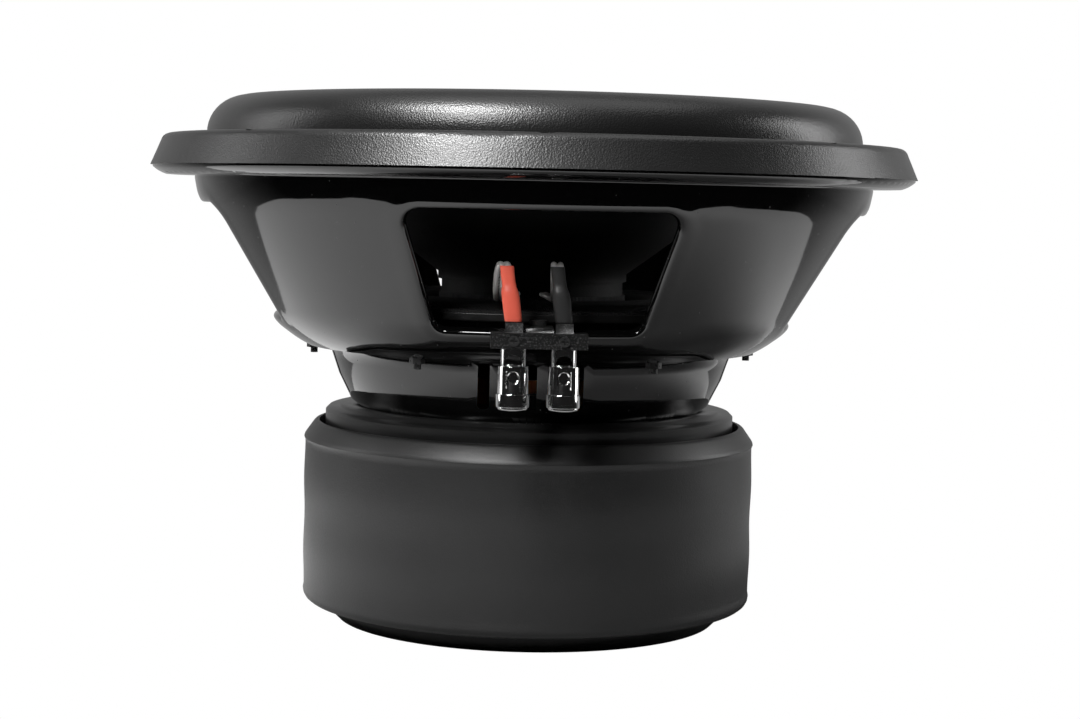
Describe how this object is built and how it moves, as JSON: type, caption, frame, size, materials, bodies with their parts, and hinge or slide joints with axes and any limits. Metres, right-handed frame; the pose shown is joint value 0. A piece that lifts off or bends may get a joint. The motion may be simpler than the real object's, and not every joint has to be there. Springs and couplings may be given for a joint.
{
  "type": "car subwoofer driver",
  "caption": "Round car subwoofer driver with a high-roll rubber surround, a vented cast basket, sprung push terminals and a booted double magnet.",
  "frame": {"origin": "centre of the back plate's flat underside, which the driver stands on", "axes": "+Z along the driver's axis, out of the cone's front; -Y towards the front pair of push terminals; +X to the right of them"},
  "size_m": [0.322, 0.322, 0.2185],
  "materials": {
    "plated_steel": "black zinc plated steel, satin",
    "satin_black_steel": "black coated steel, satin",
    "copper_sleeve": "copper, drawn",
    "ferrite": null,
    "boot_rubber": "charcoal moulded rubber, fine grain, matt",
    "screen_steel": "perforated steel",
    "gloss_black_cast": "gloss black paint over cast aluminium",
    "black_steel": "black oxide steel",
    "gasket_rubber": "black rubber, fine grain, satin",
    "surround_rubber": "black rubber, fine grain, satin",
    "paper_cone": "black pressed pulp, matt",
    "dust_cap_paper": "black pressed pulp, satin",
    "former_aluminium": "black anodised aluminium foil",
    "enamelled_wire": "enamelled round copper wire",
    "collar_paper": "black kraft stiffening collar",
    "spider_cloth": "resin-set woven cotton blend, black",
    "ring_plastic": "moulded black plastic",
    "screw_steel": "zinc plated steel",
    "nut_steel": "black oxide steel",
    "silver_braid": "silver plated braided tinsel lead",
    "bracket_plastic": "black moulded plastic",
    "bright_chrome": "bright nickel-chrome plate",
    "tinned_brass": "tinned brass",
    "heat_shrink_red": "red heat-shrink tube",
    "heat_shrink_black": "black heat-shrink tube"
  },
  "bodies": {
    "frame": {"barrel_back_black": "bright_chrome", "barrel_back_red": "bright_chrome", "barrel_front_black": "bright_chrome", "barrel_front_red": "bright_chrome", "basket": "gloss_black_cast", "basket_bolts": "black_steel", "bracket_back": "bracket_plastic", "bracket_front": "bracket_plastic", "clamp_screws_back": "black_steel", "clamp_screws_front": "black_steel", "gasket": "gasket_rubber", "heat_shrink_back_black": "heat_shrink_black", "heat_shrink_back_red": "heat_shrink_red", "heat_shrink_front_black": "heat_shrink_black", "heat_shrink_front_red": "heat_shrink_red", "lead_pair_back_black": "silver_braid", "lead_pair_back_red": "silver_braid", "lead_pair_front_black": "silver_braid", "lead_pair_front_red": "silver_braid", "lug_back_black": "tinned_brass", "lug_back_red": "tinned_brass", "lug_front_black": "tinned_brass", "lug_front_red": "tinned_brass", "magnet_boot": "boot_rubber", "magnet_lower": "ferrite", "magnet_upper": "ferrite", "shorting_sleeve": "copper_sleeve", "spider_leads": "silver_braid", "spider_lower": "spider_cloth", "spider_ring": "ring_plastic", "spider_ring_nuts": "nut_steel", "spider_ring_screws": "screw_steel", "spider_upper": "spider_cloth", "spring_back_black": "screw_steel", "spring_back_red": "screw_steel", "spring_front_black": "screw_steel", "spring_front_red": "screw_steel", "surround": "surround_rubber", "t_yoke": "plated_steel", "tongue_screw_back": "screw_steel", "tongue_screw_front": "screw_steel", "top_plate": "satin_black_steel", "vent_screen": "screen_steel"},
    "cone_assembly": {"cone": "paper_cone", "dust_cap": "dust_cap_paper", "coil_former": "former_aluminium", "winding_inner": "enamelled_wire", "winding_outer": "enamelled_wire", "former_collar": "collar_paper"},
    "push_front_red": {"push_sleeve_front_red": "bright_chrome", "end_cap_front_red": "bright_chrome"},
    "push_front_black": {"push_sleeve_front_black": "bright_chrome", "end_cap_front_black": "bright_chrome"},
    "push_back_red": {"push_sleeve_back_red": "bright_chrome", "end_cap_back_red": "bright_chrome"},
    "push_back_black": {"push_sleeve_back_black": "bright_chrome", "end_cap_back_black": "bright_chrome"}
  },
  "joints": [
    {"name": "cone_travel", "type": "slide", "parent": "frame", "child": "cone_assembly", "axis": [0, 0, 1], "range_m": [-0.015, 0.015], "stiffness_N_per_m": 6500, "deforming": ["surround", "spider_upper", "spider_lower", "spider_leads"]},
    {"name": "push_front_red", "type": "slide", "parent": "frame", "child": "push_front_red", "axis": [0, 0, 1], "range_m": [0, 0.0053], "stiffness_N_per_m": 1500, "springref_m": -0.003, "deforming": ["spring_front_red"]},
    {"name": "push_front_black", "type": "slide", "parent": "frame", "child": "push_front_black", "axis": [0, 0, 1], "range_m": [0, 0.0053], "stiffness_N_per_m": 1500, "springref_m": -0.003, "deforming": ["spring_front_black"]},
    {"name": "push_back_red", "type": "slide", "parent": "frame", "child": "push_back_red", "axis": [0, 0, 1], "range_m": [0, 0.0053], "stiffness_N_per_m": 1500, "springref_m": -0.003, "deforming": ["spring_back_red"]},
    {"name": "push_back_black", "type": "slide", "parent": "frame", "child": "push_back_black", "axis": [0, 0, 1], "range_m": [0, 0.0053], "stiffness_N_per_m": 1500, "springref_m": -0.003, "deforming": ["spring_back_black"]}
  ]
}
